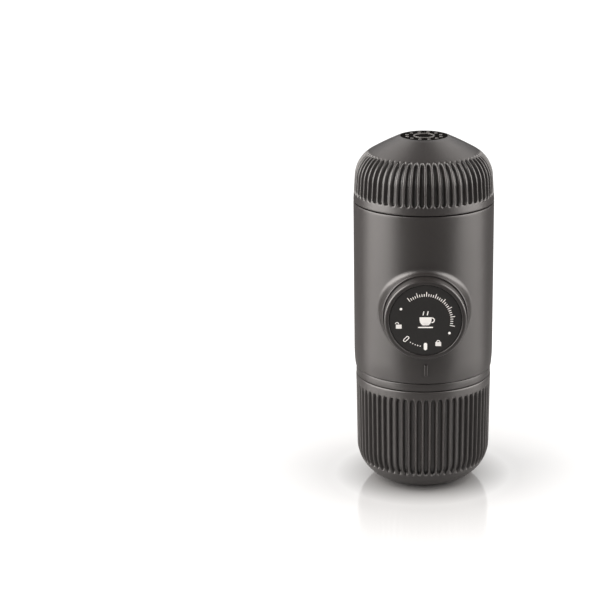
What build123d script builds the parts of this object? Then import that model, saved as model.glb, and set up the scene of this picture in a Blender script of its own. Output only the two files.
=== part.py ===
from build123d import *
import os

# Handheld manual espresso maker, standing on its cup. Millimetres, +Z up.
# The origin is the centre of the cup's flat foot. The pump lies along Y, its knob to -Y.

os.makedirs("parts", exist_ok=True)

# Clearances
seam = 0.3              # open parting line between two outer casings
slip = 0.05             # radial clearance of a running or pushed fit
seat = 0.1              # axial clearance between a piece and what carries it
core_play = 0.2         # between the pump core and the body shell
knob_room = 0.5         # between the knob's skirt and the fixed pieces beside it
bite = 0.3              # how far a lug, rib or boss is rooted in its wall

# Cup
cup_height = 49.2
cup_corner_radius = 16.5
cup_flare = 0.4         # the straight side leans out this much, up to the lip
cup_lip_proud = 0.1     # the lip stands this far outside the collar ring
cup_wall = 2.2
cup_floor = 2.4
lip_round = 0.6

# Collar ring and outlet head
collar_height = 3.4
collar_inset = 0.8      # the collar ring lies this far inside the body's outside
collar_width = 3.6
skirt_wall = 2.2
skirt_drop = 6.4
plug_inset = 2.2        # from the collar's seat in to the threaded plug
plug_wall = 3.0
plug_height = 7.8
pot_wall = 2.2
pot_floor = 2.2
pot_gap = 1.2           # free space under the filter basket
nozzle_radius = 6.0
nozzle_length = 8.4
spout_wall = 1.4
spout_hole_radius = 1.2
cup_seal_height = 1.6
cup_seal_depth = 1.0

# Filter basket
basket_wall = 0.7
basket_depth = 16.0
basket_floor = 0.8
rim_width = 1.2
rim_thickness = 0.8
rim_stand = 0.5         # the rim stands this far above the head, to meet the gasket
basket_hole_radius = 0.45
basket_hole_rings = 5
basket_hole_margin = 3.3  # from the outermost holes to the wall

# Head socket, gasket and shower screen
socket_wall = 2.65
socket_plate = 2.4
socket_lift = 0.8       # the socket's edge above the shell's lower edge
gasket_width = 2.8
gasket_height = 2.0
screen_thickness = 0.8
screen_rise = 0.9       # water space above the shower screen
screen_gap = 1.4        # between the screen's rim and the gasket
screen_hole_radius = 0.6
screen_hole_rings = 4
screen_hole_margin = 3.4

# Screw threads of the tank and the head, four starts each
thread_starts = 4
thread_lead = 12.0
thread_depth = 1.1
thread_gap = 0.35
thread_height = 1.0
ridge_arc = 60.0
lug_arc = 30.0
tank_thread_lift = 3.3
head_thread_lift = 4.6

# Body shell
body_radius = 31.0
shell_wall = 2.4
shell_foot_inset = 0.5  # the foot eases in by this much
shell_ease_height = 8.0
ledge_height = 2.4
boss_wall = 1.9
boss_rise = 2.4
boss_fillet = 2.0
mark_width = 1.2
mark_height = 5.5
mark_rise = 0.4
mark_lift = 3.4

# Pump knob
knob_radius = 17.7
knob_skirt_wall = 1.95
knob_web = 2.4
knob_stand = 6.6        # how far the knob stands out of the boss
knob_play = 0.3
knob_round = 0.8
knob_gap_below = 1.5
knob_gap_above = 9.1
face_recess = 0.4
face_thickness = 1.4
face_rebate = 1.3
face_void = 1.4         # behind the face, for the screw's head
pump_stroke = 18.0
skirt_guide = 1.2       # skirt left inside the boss at full stroke
twist_angle = 45.0
lug_count = 3
lug_width_angle = 14.0
lug_length = 3.0
lug_inset = 3.8
lug_reach = 1.7
lug_play = 1.0
lug_play_angle = 1.0

# Lock ring and return spring
lock_wall = 3.9
lock_gap = 0.4
lock_nose = 4.4
lock_flange = 3.0
lock_flange_gap = 1.2
spring_rest_length = 16.4
spring_mean_radius = 9.6
spring_wire_radius = 0.6
spring_turns = 7

# Plunger, cylinder and barrel
rod_radius = 4.0
piston_radius = 5.85
piston_length = 7.0
piston_groove_width = 1.3
piston_groove_depth = 0.9
liner_wall = 1.3
liner_bore_gap = 0.15
barrel_wall = 3.2
gland_length = 4.0
rod_seal_width = 1.5
rod_seal_length = 1.6
stub_radius = 3.0
shoulder_radius = 5.5
shoulder_thickness = 1.5
knob_screw_head_radius = 4.6
knob_screw_head = 1.0
knob_screw_radius = 1.4
knob_screw_length = 10.0
chamber_space = 2.4     # left behind the piston, where the two ports open
port_radius = 1.0
plug_nose = 1.6
end_seal_thickness = 0.9
plug_body_length = 2.2
plug_flange = 2.0
plug_flange_gap = 0.7
rear_gap = 0.4

# Pump core
core_floor = 2.4
well_depth = 14.1
column_radius = 6.0
rib_thickness = 3.0
boss_radius = 2.6
core_boss_height = 8.0
core_screw_inset = 2.55   # of each screw from the lower disc's edge
core_screw_radius = 1.1
core_screw_head_radius = 1.9
core_screw_head = 1.3
core_screw_length = 8.6
core_screw_lean = 35.0    # of each screw from the side, in degrees
channel_width = 2.4
channel_depth = 1.2
outlet_radius = 12.0

# Check valves, one size for all three
valve_radius = 3.6
valve_length = 9.0
valve_wall = 1.1
valve_hole_radius = 1.1
ball_radius = 1.8
valve_spring_radius = 1.35
valve_spring_wire = 0.25
valve_spring_turns = 4

# Air vent in the tank's floor
vent_radius = 2.4
vent_height = 3.6
vent_hole_radius = 1.2
vent_place = 17.0

# Water tank
tank_height = 28.7
tank_wall = 2.4
tank_taper = 0.7
tank_side_height = 11.3
tank_shoulder_radius = 13.2
tank_crown_angle = 30.0
spigot_height = 8.5
spigot_wall = 2.4
tank_gasket_height = 1.4
tank_gasket_width = 1.0
tip_radius = 10.4
tip_thickness = 1.4
tip_relief = 0.3
tip_dots = 12
tip_dot_radius = 0.7
tip_dot_circle = 7.6
tip_ring_radius = 4.4
tip_ring_width = 0.8

# Grip grooves of the cup and the tank
groove_count = 60
groove_width = 1.75
groove_depth = 1.0
tank_groove_lift = 3.6
tank_groove_top_inset = 6.5  # of the grooves' upper ends, on the shoulder
cup_groove_bottom = 9.0
cup_groove_drop = 3.7

# ---------------------------------------------------------------------------
# Heights, from the foot up
# ---------------------------------------------------------------------------
collar_bottom = cup_height + seam
collar_top = collar_bottom + collar_height
shell_bottom = collar_top + seam
socket_bottom = shell_bottom + socket_lift
plug_top = shell_bottom + plug_height
rim_top = plug_top + rim_stand
rim_bottom = rim_top - rim_thickness
gasket_bottom = rim_top + seat
plate_bottom = gasket_bottom + gasket_height
plate_top = plate_bottom + socket_plate
pump_z = plate_top + knob_gap_below + knob_radius
well_floor_bottom = pump_z + knob_radius + knob_gap_above
well_floor_top = well_floor_bottom + core_floor
shell_top = well_floor_top + well_depth
tank_bottom = shell_top + seam
tank_top = tank_bottom + tank_height
pot_bottom = rim_top - basket_depth - basket_floor - pot_gap - pot_floor
nozzle_bottom = pot_bottom - nozzle_length
skirt_bottom = collar_bottom - skirt_drop

# Threads: the ridges' start heights, and where a lug lies along its ridge, half a pitch off it
head_thread_z = socket_bottom + head_thread_lift
tank_thread_z = tank_bottom + tank_thread_lift
half_pitch = thread_lead / thread_starts / 2
lug_turn = (ridge_arc - lug_arc) / 2
lug_rise = thread_lead * lug_turn / 360

# Radii about the upright axis
collar_radius = body_radius - collar_inset
cup_lip_radius = collar_radius + cup_lip_proud
cup_side_radius = cup_lip_radius - cup_flare
cup_foot_radius = cup_side_radius - cup_corner_radius
head_seat_radius = collar_radius - collar_width
plug_radius = head_seat_radius - plug_inset


def cup_inner_radius(height):
    """Inside radius of the cup's straight, slightly flared side."""
    lean = cup_flare / (cup_height - cup_corner_radius)
    return cup_side_radius + lean * (height - cup_corner_radius) - cup_wall


shell_foot_radius = body_radius - shell_foot_inset
shell_bore = body_radius - shell_wall
core_radius = shell_bore - core_play
tank_bore = body_radius - tank_wall
tank_gasket_radius = tank_bore - 2 * slip
tank_gasket_bore = tank_gasket_radius - tank_gasket_width
spigot_radius = tank_gasket_bore - slip - thread_depth
spigot_bore = spigot_radius - spigot_wall
ledge_bore = spigot_radius + core_play
socket_bore = plug_radius + thread_depth + thread_gap
lower_disc_radius = core_radius - socket_wall + core_play
core_screw_circle = lower_disc_radius - core_screw_inset
rim_radius = plug_radius - plug_wall - core_play
basket_radius = rim_radius - rim_width
basket_hole_pitch = (basket_radius - basket_wall - basket_hole_margin) / basket_hole_rings
pot_bore = basket_radius + 2 * core_play
screen_radius = rim_radius - gasket_width - screen_gap
screen_hole_pitch = (screen_radius - screen_hole_margin) / screen_hole_rings
skirt_radius = cup_inner_radius(skirt_bottom) - seam
pot_radius = pot_bore + pot_wall

# Radii about the pump axis
knob_bore = knob_radius - knob_skirt_wall
boss_bore = knob_radius + knob_play
liner_bore = piston_radius + liner_bore_gap
liner_radius = liner_bore + liner_wall
barrel_radius = liner_radius + barrel_wall
lock_radius = knob_bore - lock_gap
lock_bore = lock_radius - lock_wall
lug_inner_radius = knob_bore - lug_reach

# Distances out along the pump axis, towards the knob
boss_front = body_radius + boss_rise
knob_front = boss_front + knob_stand
face_front = knob_front - face_recess
face_back = face_front - face_thickness
web_front = face_back - face_void
web_back = web_front - knob_web
skirt_back = boss_front - pump_stroke - skirt_guide
barrel_front = web_back - spring_rest_length
liner_front = barrel_front - gland_length
lock_base = skirt_back - lock_flange_gap
lock_front = web_back - lock_nose
lug_back = skirt_back + lug_inset
plug_outer = rear_gap - (shell_bore**2 - barrel_radius**2) ** 0.5
barrel_back = plug_outer + plug_flange
seal_back = barrel_back + plug_body_length
liner_back = seal_back + end_seal_thickness + seat
chamber_back = liner_back + plug_nose
piston_back = chamber_back + chamber_space
piston_front = piston_back + piston_length
port_y = -(chamber_back + piston_back) / 2

print("height", round(tank_top, 2), "pump axis", round(pump_z, 2), "skirt back", round(skirt_back, 2))


# ---------------------------------------------------------------------------
# Shared shapes
# ---------------------------------------------------------------------------
def save(shape, node):
    """Write one sub-part."""
    export_step(shape, "parts/" + node + ".step")


def turned(*outline):
    """Solid turned about Z from points (radius, height)."""
    return revolve(Plane.XZ * make_face(Polyline(*outline, close=True)), Axis.Z)


def ring(outer, inner, bottom, top):
    """Plain ring, or a disc where inner is 0."""
    return turned((inner, bottom), (outer, bottom), (outer, top), (inner, top))


def on_pump(shape):
    """Lay a shape made about Z along the pump axis, its +Z towards the knob."""
    return Pos(0, 0, pump_z) * Rot(90, 0, 0) * shape


def around(shape, count, start=0.0):
    """Equally spaced copies about Z."""
    return [Rot(0, 0, start + i * 360 / count) * shape for i in range(count)]


def at_core_screws(shape):
    """Copies at the four core screws, two on each side, clear of the knob and the valves."""
    angles = [side + lean for side in (0, 180) for lean in (-core_screw_lean, core_screw_lean)]
    return [Rot(0, 0, angle) * Pos(core_screw_circle, 0, 0) * shape for angle in angles]


def helical_lug(inner, outer, arc, middle, start):
    """One short thread lug, its section centred at the height middle at its start angle."""
    path = Helix(pitch=thread_lead, height=thread_lead * arc / 360, radius=(inner + outer) / 2)
    section = Plane(origin=path @ 0, x_dir=(1, 0, 0), z_dir=path % 0) * Rectangle(outer - inner, thread_height)
    return Rot(0, 0, start) * Pos(0, 0, middle) * sweep(section, path, is_frenet=True)


def coil_spring(mean_radius, wire_radius, turns, length):
    """Round-wire spring from height 0 to length."""
    rise = length - 2 * wire_radius
    path = Helix(pitch=rise / turns, height=rise, radius=mean_radius)
    section = Plane(origin=path @ 0, x_dir=(1, 0, 0), z_dir=path % 0) * Circle(wire_radius)
    return Pos(0, 0, wire_radius) * sweep(section, path, is_frenet=True)


def screw(head_radius, head, shank_radius, length):
    """Cross-headed screw: the head stands on height 0 and the shank goes down."""
    body = ring(head_radius, 0, 0, head) + ring(shank_radius, 0, -length, 0)
    cross_length = head_radius * 1.2
    cross = Box(cross_length, cross_length / 5, head) + Box(cross_length / 5, cross_length, head)
    return body - Pos(0, 0, head) * cross


def hole_field(hole_radius, rings, pitch, bottom, top):
    """Rods that drill a centre hole and rings of holes."""
    rod = ring(hole_radius, 0, bottom, top)
    rods = [rod]
    for i in range(1, rings + 1):
        rods += around(Pos(i * pitch, 0, 0) * rod, 6 * i)
    return rods


def groove_cutters(skin, bottom, top, turn=0.0):
    """Round-ended grip grooves: a slot-shaped bar through the skin, repeated around."""
    slot_length = top - bottom
    slot = Plane.YZ * Pos(0, (bottom + top) / 2) * SlotOverall(slot_length, groove_width, rotation=90)
    cutter = skin & extrude(slot, amount=2 * body_radius)
    return around(cutter, groove_count, turn)


# ---------------------------------------------------------------------------
# Cup
# ---------------------------------------------------------------------------
def cup_face(inset, floor, top):
    """Half outline of the cup, moved inward by inset; its foot is at the height floor."""
    corner = cup_corner_radius - inset
    corner_outer = cup_foot_radius + corner
    foot = (cup_foot_radius, floor)
    arc = RadiusArc(foot, (corner_outer, floor + corner), -corner)
    lip = (cup_lip_radius - inset, top)
    edges = [Line((0, floor), foot), arc, Line(arc @ 1, lip), Line(lip, (0, top)), Line((0, top), (0, floor))]
    return make_face(edges)


def make_cup():
    outside = cup_face(0, 0, cup_height)
    inside = cup_face(cup_wall, cup_floor, cup_height + cup_floor)
    body = revolve(Plane.XZ * (outside - inside), Axis.Z)
    groove_top = cup_height - cup_groove_drop
    bottom_of_skin = cup_face(groove_depth, groove_depth, cup_height)
    skin = revolve(Plane.XZ * (cup_face(-groove_depth, -groove_depth, cup_height) - bottom_of_skin), Axis.Z)
    body -= groove_cutters(skin, cup_groove_bottom, groove_top)
    lip_edges = body.edges().filter_by(GeomType.CIRCLE).group_by(Axis.Z)[-1]
    return fillet(lip_edges, lip_round)


save(make_cup(), "cup")

# ---------------------------------------------------------------------------
# Collar ring
# ---------------------------------------------------------------------------
collar = ring(collar_radius, head_seat_radius + slip, collar_bottom, collar_top)
save(chamfer(collar.edges().filter_by(GeomType.CIRCLE).group_by(SortBy.RADIUS)[-1], seam), "collar_ring")

# ---------------------------------------------------------------------------
# Outlet head: pot for the basket, threaded plug, skirt for the cup and nozzle
# ---------------------------------------------------------------------------
seal_bottom = skirt_bottom + skirt_drop / 3
seal_groove_radius = skirt_radius - cup_seal_depth
seal_top = seal_bottom + cup_seal_height
pot_inside = pot_bottom + pot_floor
skirt_roof = collar_bottom - skirt_wall
head_outline = [
    (0, nozzle_bottom),
    (nozzle_radius, nozzle_bottom),
    (nozzle_radius, pot_bottom),
    (pot_radius, pot_bottom),
    (pot_radius, skirt_roof),
    (skirt_radius - skirt_wall, skirt_roof),
    (skirt_radius - skirt_wall, skirt_bottom),
    (skirt_radius, skirt_bottom),
    (skirt_radius, seal_bottom),
    (seal_groove_radius, seal_bottom),
    (seal_groove_radius, seal_top),
    (skirt_radius, seal_top),
    (skirt_radius, collar_bottom - seat),
    (head_seat_radius, collar_bottom - seat),
    (head_seat_radius, shell_bottom - seat),
    (plug_radius, shell_bottom - seat),
    (plug_radius, plug_top),
    (rim_radius + core_play, plug_top),
    (rim_radius + core_play, rim_bottom - seat),
    (pot_bore, rim_bottom - seat),
    (pot_bore, pot_inside),
    (0, pot_inside),
]
head = turned(*head_outline)
head -= ring(valve_radius + slip, 0, nozzle_bottom - seat, nozzle_bottom + valve_length)
head -= ring(valve_hole_radius, 0, nozzle_bottom, pot_inside + seat)
head_ridge = helical_lug(plug_radius - bite, plug_radius + thread_depth, ridge_arc, head_thread_z, 0)
head += around(head_ridge, thread_starts)
save(head, "outlet_head")
save(
    ring(cup_inner_radius(seal_bottom) - slip, seal_groove_radius, seal_bottom + slip, seal_top - slip),
    "cup_seal",
)

# Spout cap over the nozzle's end, which holds the valve in
cap_bore = nozzle_radius + slip
cap_radius = cap_bore + spout_wall
cap_height = nozzle_length / 2
spout = ring(cap_radius, 0, nozzle_bottom - spout_wall - seat, nozzle_bottom - seat)
spout += ring(cap_radius, cap_bore, nozzle_bottom - spout_wall, nozzle_bottom + cap_height)
spout -= ring(spout_hole_radius, 0, nozzle_bottom - 2 * spout_wall, nozzle_bottom)
spout = chamfer(spout.edges().group_by(Axis.Z)[0].sort_by(SortBy.RADIUS)[-1], spout_wall / 2)
save(spout, "spout_cap")

# ---------------------------------------------------------------------------
# Filter basket
# ---------------------------------------------------------------------------
basket_inside = rim_top - basket_depth
basket = turned(
    (0, basket_inside - basket_floor),
    (basket_radius, basket_inside - basket_floor),
    (basket_radius, rim_bottom),
    (rim_radius, rim_bottom),
    (rim_radius, rim_top),
    (basket_radius - basket_wall, rim_top),
    (basket_radius - basket_wall, basket_inside),
    (0, basket_inside),
)
basket_drill_bottom = basket_inside - basket_floor - seat
basket -= hole_field(
    basket_hole_radius, basket_hole_rings, basket_hole_pitch, basket_drill_bottom, basket_inside + seat
)
save(basket, "filter_basket")

# ---------------------------------------------------------------------------
# Head socket, its screws, the gasket and the shower screen
# ---------------------------------------------------------------------------
socket = ring(core_radius, 0, plate_bottom, plate_top)
socket += ring(core_radius, socket_bore, socket_bottom, plate_bottom)
socket_lug_z = head_thread_z + lug_rise + half_pitch
socket_lug = helical_lug(socket_bore - thread_depth, socket_bore + bite, lug_arc, socket_lug_z, lug_turn)
socket += around(socket_lug, thread_starts)
channel_length = port_y - outlet_radius
channel = Box(channel_width, channel_length, 2 * channel_depth)
socket -= Pos(0, (port_y + outlet_radius) / 2, plate_top) * channel
socket -= Pos(0, outlet_radius, 0) * ring(channel_width / 2, 0, plate_bottom - seat, plate_top)
socket -= at_core_screws(ring(core_screw_radius + slip, 0, plate_bottom - seat, plate_top + seat))
screen_screw_depth = socket_plate - channel_depth
socket -= ring(core_screw_radius + slip, 0, plate_bottom - seat, plate_bottom + screen_screw_depth)
save(socket, "head_socket")

core_screw = screw(core_screw_head_radius, core_screw_head, core_screw_radius, core_screw_length)
core_screw = Pos(0, 0, plate_bottom) * Rot(180, 0, 0) * core_screw
save(Compound(children=at_core_screws(core_screw)), "core_screws")

save(ring(rim_radius, rim_radius - gasket_width, gasket_bottom, plate_bottom), "head_gasket")

screen_bottom = plate_bottom - screen_rise - screen_thickness
screen = ring(screen_radius, 0, screen_bottom, plate_bottom)
screen -= ring(screen_radius - screen_thickness, 0, screen_bottom + screen_thickness, plate_bottom + seat)
screen += ring(2 * core_screw_radius, 0, screen_bottom, plate_bottom)
screen_inside = screen_bottom + screen_thickness
screen_rods = hole_field(
    screen_hole_radius, screen_hole_rings, screen_hole_pitch, screen_bottom - seat, screen_inside + seat
)
screen -= screen_rods[1:]
screen -= ring(core_screw_radius + slip, 0, screen_bottom - seat, plate_bottom + seat)
save(screen, "shower_screen")

screen_screw_length = screen_rise + screen_thickness + screen_screw_depth - seat
screen_screw = screw(core_screw_head_radius, core_screw_head, core_screw_radius, screen_screw_length)
save(Pos(0, 0, screen_bottom) * Rot(180, 0, 0) * screen_screw, "shower_screw")

# ---------------------------------------------------------------------------
# Pump core: tank spigot and well, pump barrel, columns for the valves, lower disc
# ---------------------------------------------------------------------------
spigot_top = tank_bottom + spigot_height
flange_bottom = shell_top - spigot_height
core = ring(spigot_radius, spigot_bore, well_floor_bottom, spigot_top)
core += ring(spigot_radius, 0, well_floor_bottom, well_floor_top)
core += ring(core_radius, spigot_bore, flange_bottom, shell_top)
core += ring(lower_disc_radius, 0, plate_top, plate_top + core_floor)
core += Pos(0, port_y, 0) * ring(column_radius, 0, plate_top, well_floor_bottom)
core_boss = ring(boss_radius, 0, plate_top, plate_top + core_boss_height)
core += at_core_screws(core_boss)
rib_middle = (port_y - lock_base + lock_flange) / 2
rib_height = well_floor_bottom - plate_top
core += Pos(0, rib_middle, plate_top + rib_height / 2) * Box(
    rib_thickness, port_y + lock_base - lock_flange, rib_height
)
knob_space = ring(knob_radius + knob_room, 0, lock_base, boss_front)
core -= on_pump(knob_space)
core += on_pump(ring(barrel_radius, 0, barrel_back, barrel_front))
core += on_pump(ring(lock_radius, 0, lock_base - lock_flange, lock_base))
# bores
core -= on_pump(ring(liner_radius + slip, 0, barrel_back - seat, liner_front))
core -= on_pump(ring(rod_radius + slip, 0, barrel_back, barrel_front + seat))
seal_start = liner_front + (gland_length - rod_seal_length) / 2
core -= on_pump(ring(rod_radius + rod_seal_width, 0, seal_start, seal_start + rod_seal_length))
inlet_top = well_floor_top - seat
inlet_bottom = inlet_top - valve_length
outlet_bottom = plate_top + seat
outlet_top = outlet_bottom + valve_length
core -= Pos(0, port_y, 0) * ring(valve_radius + slip, 0, inlet_bottom - slip, well_floor_top + seat)
core -= Pos(0, port_y, 0) * ring(valve_radius + slip, 0, plate_top - seat, outlet_top + slip)
core -= Pos(0, port_y, 0) * ring(port_radius, 0, outlet_top, inlet_bottom)
core -= Pos(0, -vent_place, 0) * ring(vent_hole_radius, 0, well_floor_bottom - seat, well_floor_top + seat)
pilot_top = plate_bottom + core_screw_length + seat
core -= at_core_screws(ring(core_screw_radius + slip, 0, plate_top - seat, pilot_top))
spigot_ridge = helical_lug(spigot_radius - bite, spigot_radius + thread_depth, ridge_arc, tank_thread_z, 0)
core += around(spigot_ridge, thread_starts)
save(core, "pump_core")

# ---------------------------------------------------------------------------
# Cylinder liner, end plug and seals
# ---------------------------------------------------------------------------
liner = on_pump(ring(liner_radius, liner_bore, liner_back, liner_front))
liner -= Pos(0, port_y, pump_z) * Cylinder(port_radius, 4 * liner_radius)
save(liner, "cylinder_liner")

plug = ring(liner_bore - slip, 0, seal_back, chamber_back)
plug += ring(liner_radius - slip, 0, barrel_back, seal_back)
plug += ring(barrel_radius - plug_flange_gap, 0, plug_outer, barrel_back)
key_slot = Pos(0, 0, plug_outer) * Box(barrel_radius, port_radius, plug_flange)
save(on_pump(plug - key_slot), "end_plug")
save(on_pump(ring(liner_radius, liner_bore, seal_back, seal_back + end_seal_thickness)), "end_plug_seal")
save(
    on_pump(ring(rod_radius + rod_seal_width, rod_radius + slip, seal_start, seal_start + rod_seal_length)),
    "rod_seal",
)

# ---------------------------------------------------------------------------
# Check valves: seat, ball and spring in a cartridge that lets water down
# ---------------------------------------------------------------------------
valve_bore = ball_radius + valve_wall / 2
ball_drop = (ball_radius**2 - valve_hole_radius**2) ** 0.5
ball_top_gap = slip
ball_z = valve_length - valve_wall - ball_drop - ball_top_gap
valve_spring_length = ball_z - ball_radius - valve_wall - 2 * slip


def make_valve(name, place):
    """One cartridge standing at place, its seat on top."""
    cage = ring(valve_radius, 0, 0, valve_length)
    cage -= ring(valve_bore, 0, valve_wall, valve_length - valve_wall)
    cage -= ring(valve_hole_radius, 0, -seat, valve_length + seat)
    save(place * cage, name + "_valve_cage")
    save(place * Pos(0, 0, ball_z) * Sphere(ball_radius), name + "_valve_ball")
    spring = coil_spring(valve_spring_radius, valve_spring_wire, valve_spring_turns, valve_spring_length)
    save(place * Pos(0, 0, valve_wall + slip) * spring, name + "_valve_spring")


make_valve("inlet", Pos(0, port_y, inlet_bottom))
make_valve("outlet", Pos(0, port_y, outlet_bottom))
make_valve("crema", Pos(0, 0, nozzle_bottom))

# Air vent: a duckbill plugged into the well's floor
vent = turned(
    (0, well_floor_bottom - vent_height / 2),
    (vent_hole_radius - slip, well_floor_bottom - vent_height / 2),
    (vent_hole_radius - slip, well_floor_top + slip),
    (vent_radius, well_floor_top + slip),
    (vent_radius, well_floor_top + vent_height / 2),
    (vent_hole_radius, well_floor_top + vent_height),
    (0, well_floor_top + vent_height),
)
save(Pos(0, -vent_place, 0) * vent, "vent_valve")

# ---------------------------------------------------------------------------
# Lock ring: guides the knob's lugs and stops its twist at both ends
# ---------------------------------------------------------------------------
lock = ring(lock_radius, barrel_radius + slip, lock_base, lug_back - lug_play)
lock += ring(lock_radius, lock_bore, lug_back - lug_play - seat, lock_front)
slot_angle = lug_width_angle + twist_angle + 2 * lug_play_angle
slot_profile = Plane.XZ * make_face(
    Polyline(
        (lug_inner_radius - seam, lug_back - lug_play),
        (lock_radius + lug_play, lug_back - lug_play),
        (lock_radius + lug_play, lock_front + lug_play),
        (lug_inner_radius - seam, lock_front + lug_play),
        close=True,
    )
)
# in the pump's own turning sense the slot runs from the lug at rest to the unlocked lug
slot_start = -lug_width_angle / 2 - lug_play_angle
slot = Rot(0, 0, slot_start) * revolve(slot_profile, Axis.Z, slot_angle)
lock -= around(slot, lug_count, -90)
save(on_pump(lock), "lock_ring")

spring = coil_spring(spring_mean_radius, spring_wire_radius, spring_turns, spring_rest_length - 2 * slip)
save(on_pump(Pos(0, 0, barrel_front + slip) * spring), "return_spring")

# ---------------------------------------------------------------------------
# Plunger, its seals and the knob screw
# ---------------------------------------------------------------------------
groove_bottom = piston_radius - piston_groove_depth
groove_one = piston_back + piston_length / 4 - piston_groove_width / 2
groove_two = piston_front - piston_length / 4 - piston_groove_width / 2
plunger = ring(piston_radius, 0, piston_back, piston_front)
plunger += ring(rod_radius, 0, piston_back, web_back - seat)
plunger += ring(shoulder_radius, 0, web_back - seat - shoulder_thickness, web_back - seat)
plunger += ring(stub_radius, 0, web_back - seat, web_front + slip)
for groove in (groove_one, groove_two):
    plunger -= ring(piston_radius + seat, groove_bottom, groove, groove + piston_groove_width)
screw_seat = web_front + 2 * slip
plunger -= ring(knob_screw_radius + slip, 0, screw_seat - knob_screw_length - seat, screw_seat)
save(on_pump(plunger), "plunger")

seals = [
    ring(liner_bore - slip, groove_bottom, groove + slip, groove + piston_groove_width - slip)
    for groove in (groove_one, groove_two)
]
save(Compound(children=[on_pump(seal) for seal in seals]), "plunger_seals")
knob_screw = screw(knob_screw_head_radius, knob_screw_head, knob_screw_radius, knob_screw_length)
save(on_pump(Pos(0, 0, screw_seat) * knob_screw), "knob_screw")

# ---------------------------------------------------------------------------
# Pump knob and its face
# ---------------------------------------------------------------------------
face_radius = knob_bore - seat
knob = turned(
    (stub_radius + slip, web_back),
    (knob_bore, web_back),
    (knob_bore, skirt_back),
    (knob_radius, skirt_back),
    (knob_radius, knob_front),
    (knob_bore, knob_front),
    (knob_bore, face_back - slip),
    (knob_bore - face_rebate, face_back - slip),
    (knob_bore - face_rebate, web_front),
    (stub_radius + slip, web_front),
)
rim_edges = knob.edges().filter_by(GeomType.CIRCLE).group_by(Axis.Z)[-1]
knob = fillet(rim_edges, knob_round)
lug_profile = Plane.XZ * make_face(
    Polyline(
        (lug_inner_radius, lug_back),
        (knob_bore + bite, lug_back),
        (knob_bore + bite, lug_back + lug_length),
        (lug_inner_radius, lug_back + lug_length),
        close=True,
    )
)
knob_lug = Rot(0, 0, -lug_width_angle / 2) * revolve(lug_profile, Axis.Z, lug_width_angle)
knob += around(knob_lug, lug_count, -90)
save(on_pump(knob), "pump_knob")
save(on_pump(ring(face_radius, 0, face_back, face_front)), "knob_face")

# ---------------------------------------------------------------------------
# Body shell with the knob's boss and the alignment mark
# ---------------------------------------------------------------------------
ease_top = (body_radius, shell_bottom + shell_ease_height)
ease = TangentArc(ease_top, (shell_foot_radius, shell_bottom), tangent=(0, -1))
shell_face = make_face(
    [
        Line((shell_bore, shell_top), (body_radius, shell_top)),
        Line((body_radius, shell_top), ease_top),
        ease,
        Line((shell_foot_radius, shell_bottom), (shell_bore, shell_bottom)),
        Line((shell_bore, shell_bottom), (shell_bore, shell_top)),
    ]
)
shell = revolve(Plane.XZ * shell_face, Axis.Z)
boss_radius_out = boss_bore + boss_wall
boss_cylinder = on_pump(ring(boss_radius_out, 0, shell_bore / 2, boss_front))
inside_bore = ring(shell_bore, 0, shell_bottom - seat, shell_top + seat)
shell += boss_cylinder - inside_bore
# the saddle-shaped edge where the boss leaves the shell's outside
saddles = shell.edges().filter_by(GeomType.CIRCLE, reverse=True).filter_by(GeomType.LINE, reverse=True)


def on_front_outside(edge):
    """True for an edge that starts on the shell's outer face, on the knob's side."""
    start = edge @ 0
    return start.Y < 0 and Vector(start.X, start.Y).length > body_radius - seat


shell = fillet([edge for edge in saddles if on_front_outside(edge)], boss_fillet)
front_edge = shell.edges().filter_by(GeomType.CIRCLE).group_by(Axis.Y)[0]
shell = fillet(front_edge, boss_wall / 2)
shell += ring(shell_bore + bite, ledge_bore, flange_bottom - ledge_height - slip, flange_bottom - slip)
lower_ledge = plate_top + slip
shell += ring(shell_bore + bite, lower_disc_radius + core_play, lower_ledge, lower_ledge + ledge_height)
mark_z = shell_bottom + mark_lift + mark_height / 2
shell += Pos(0, -body_radius, mark_z) * Box(mark_width, 2 * mark_rise, mark_height)
shell -= on_pump(ring(boss_bore, 0, lock_base, knob_front))
save(shell, "body_shell")

# ---------------------------------------------------------------------------
# Water tank, its gasket and the pad on its top
# ---------------------------------------------------------------------------
def tank_face(inset, top_inset):
    """Half outline of the tank, moved inward by inset: side, shoulder arc and gently domed crown."""
    foot = (body_radius - inset, tank_bottom)
    side = Line(foot, (body_radius - tank_taper - inset, tank_bottom + tank_side_height))
    lean = 90 - (side % 1).get_angle(Vector(-1, 0, 0))
    shoulder = JernArc(
        side @ 1, side % 1, tank_shoulder_radius - inset, 90 - tank_crown_angle - lean
    )
    crown_end = (tip_radius, tank_top - top_inset)
    crown = TangentArc(shoulder @ 1, crown_end, tangent=shoulder % 1)
    return make_face(
        [
            side,
            shoulder,
            crown,
            Line(crown_end, (0, tank_top - top_inset)),
            Line((0, tank_top - top_inset), (0, tank_bottom)),
            Line((0, tank_bottom), foot),
        ]
    )


tank = revolve(Plane.XZ * (tank_face(0, 0) - tank_face(tank_wall, tank_wall + tip_thickness)), Axis.Z)
tank_skin_face = tank_face(-groove_depth, -groove_depth) - tank_face(groove_depth, groove_depth)
tank_skin = revolve(Plane.XZ * tank_skin_face, Axis.Z)
tank_skin -= ring(body_radius - tank_groove_top_inset, 0, tank_bottom - seat, tank_top + 2 * groove_depth)
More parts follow.
